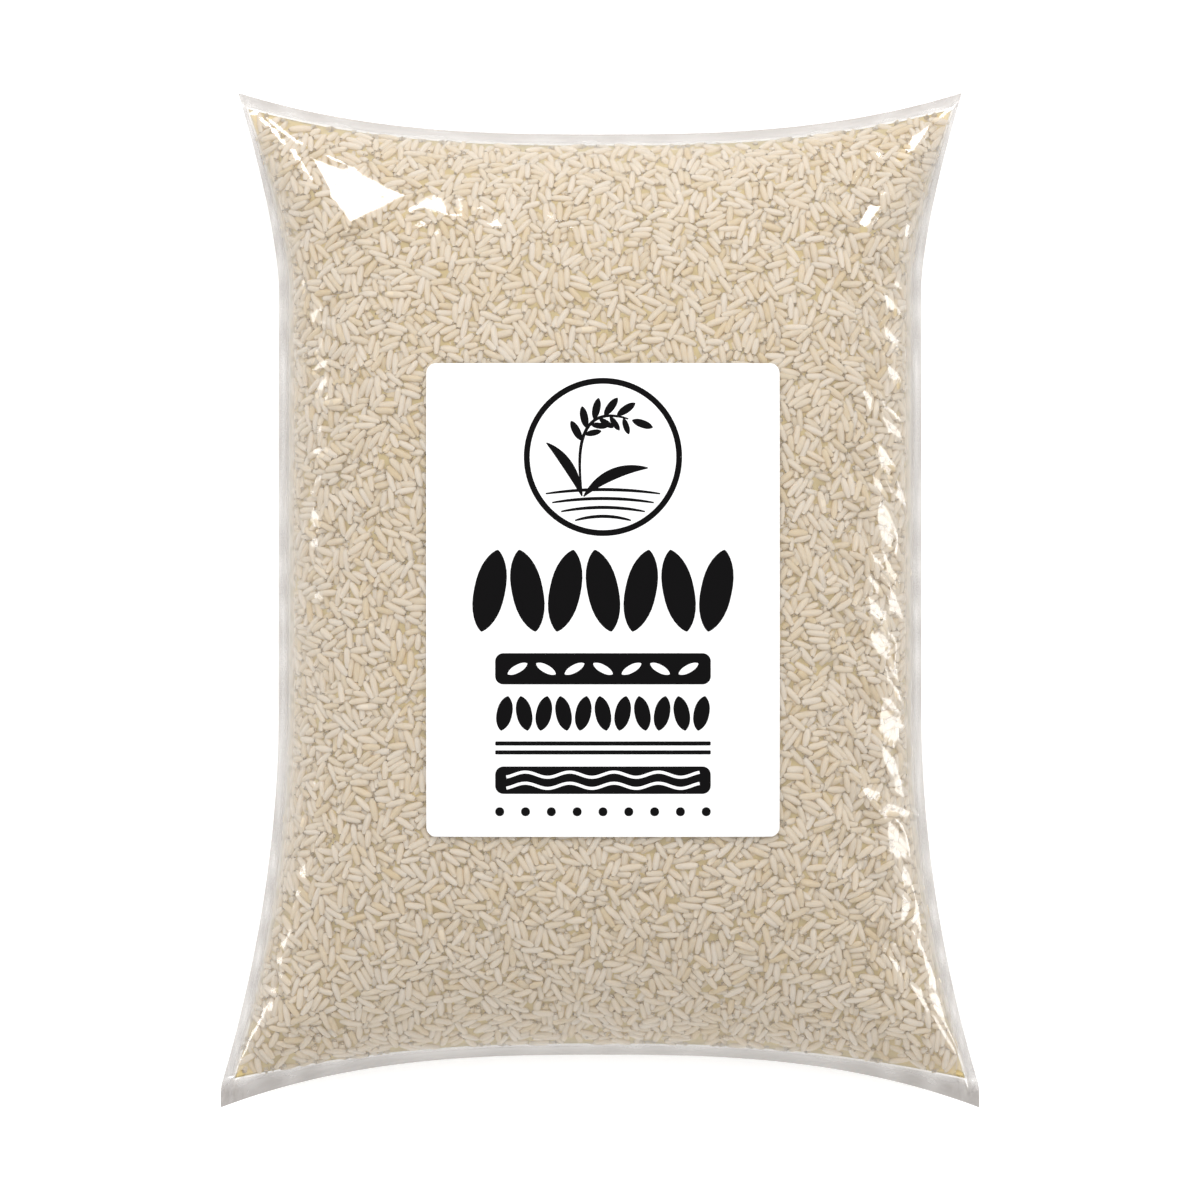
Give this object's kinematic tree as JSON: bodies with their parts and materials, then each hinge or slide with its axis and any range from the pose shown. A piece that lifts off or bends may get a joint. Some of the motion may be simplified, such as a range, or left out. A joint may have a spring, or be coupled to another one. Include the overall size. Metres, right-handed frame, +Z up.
{
  "type": "bag of rice",
  "caption": "Clear film pillow bag filled with long grain rice, lying on its back, with a rounded white paper label on the front.",
  "frame": {"origin": "on the surface that the bag lies on, under the middle of its outline", "axes": "+Z up through the label, +Y to the bag's top end, +X to the label's right"},
  "size_m": [0.207, 0.277, 0.0537],
  "materials": {
    "bag_rice": "clear polythene film drawn tight over pale ivory rice grains",
    "label_paper": "smooth coated white label stock with plain black printed shapes"
  },
  "bodies": {
    "root": {"bag": "bag_rice", "label": "label_paper"}
  },
  "joints": []
}
